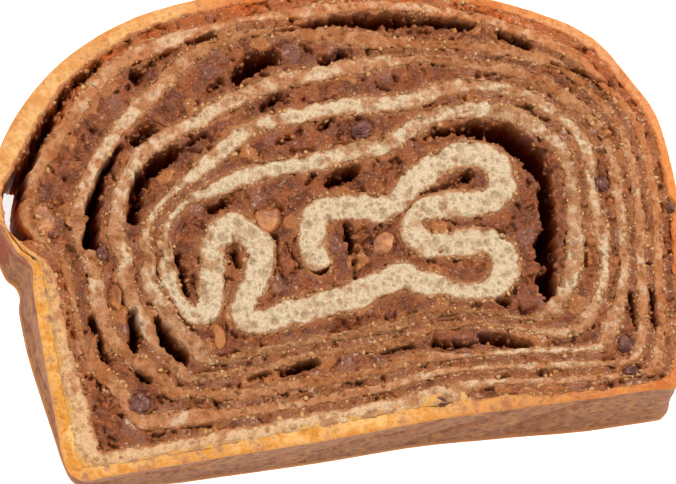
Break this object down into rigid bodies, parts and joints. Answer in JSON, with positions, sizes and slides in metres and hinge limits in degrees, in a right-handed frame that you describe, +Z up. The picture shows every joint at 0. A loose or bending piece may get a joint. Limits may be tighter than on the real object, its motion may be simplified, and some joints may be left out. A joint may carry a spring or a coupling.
{
  "type": "potica slice",
  "caption": "Thick slice of walnut potica baked in a loaf tin, lying flat, with its rolled dough, filling, raisins and crust showing.",
  "frame": {"origin": "middle of the underside of the slice, which lies on its back with the cut face up", "axes": "+X along the base crust, +Y from the base crust towards the dome, +Z up out of the cut face"},
  "size_m": [0.1208, 0.0839, 0.0186],
  "materials": {
    "dough": "baked yeast dough: cream and porous inside, golden brown crust",
    "filling": "moist crumbly walnut filling",
    "raisin": "wrinkled dark raisin, slightly glossy",
    "walnut": "chopped walnut kernel, cut and skinned faces"
  },
  "bodies": {
    "root": {"dough": "dough", "filling_1": "filling", "filling_2": "filling", "filling_3": "filling", "filling_4": "filling", "filling_5": "filling", "filling_6": "filling", "filling_7": "filling", "raisin_1": "raisin", "raisin_2": "raisin", "raisin_3": "raisin", "raisin_4": "raisin", "raisin_5": "raisin", "raisin_6": "raisin", "raisin_7": "raisin", "raisin_8": "raisin", "walnut_1": "walnut", "walnut_2": "walnut", "walnut_3": "walnut", "walnut_4": "walnut", "walnut_5": "walnut", "walnut_6": "walnut"}
  },
  "joints": []
}
